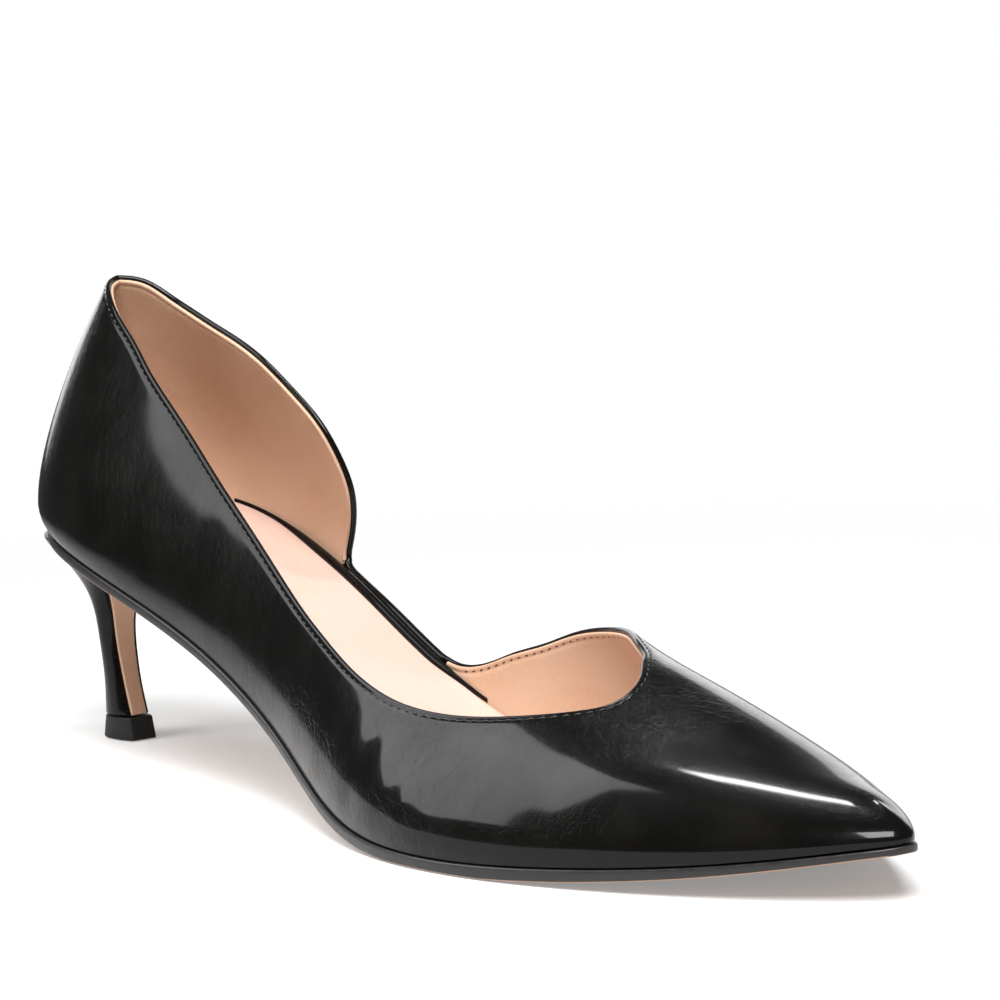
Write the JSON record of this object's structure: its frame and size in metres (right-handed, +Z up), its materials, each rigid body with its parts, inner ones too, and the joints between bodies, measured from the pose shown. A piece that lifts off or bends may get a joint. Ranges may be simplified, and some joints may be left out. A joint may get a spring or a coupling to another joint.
{
  "type": "dorsay pump",
  "caption": "Pointed low-cut dress shoe for the right foot, cut away at the inner arch, on a slim flared mid-height heel, black leather with a beige sock",
  "frame": {"origin": "centre of the lift's face on the floor", "axes": "+X towards the toe, +Y towards the inner side of the foot, +Z up"},
  "size_m": [0.2508, 0.0704, 0.0937],
  "materials": {
    "black_leather": "smooth, soft gloss",
    "beige_sock": "matte",
    "black_sole_edge": "satin",
    "nude_cover": "satin",
    "black_lift": "matte"
  },
  "bodies": {
    "root": {"upper": "black_leather", "insole": "beige_sock", "outsole": "black_sole_edge", "heel": "black_leather", "breast_cover": "nude_cover", "top_lift": "black_lift"}
  },
  "joints": []
}
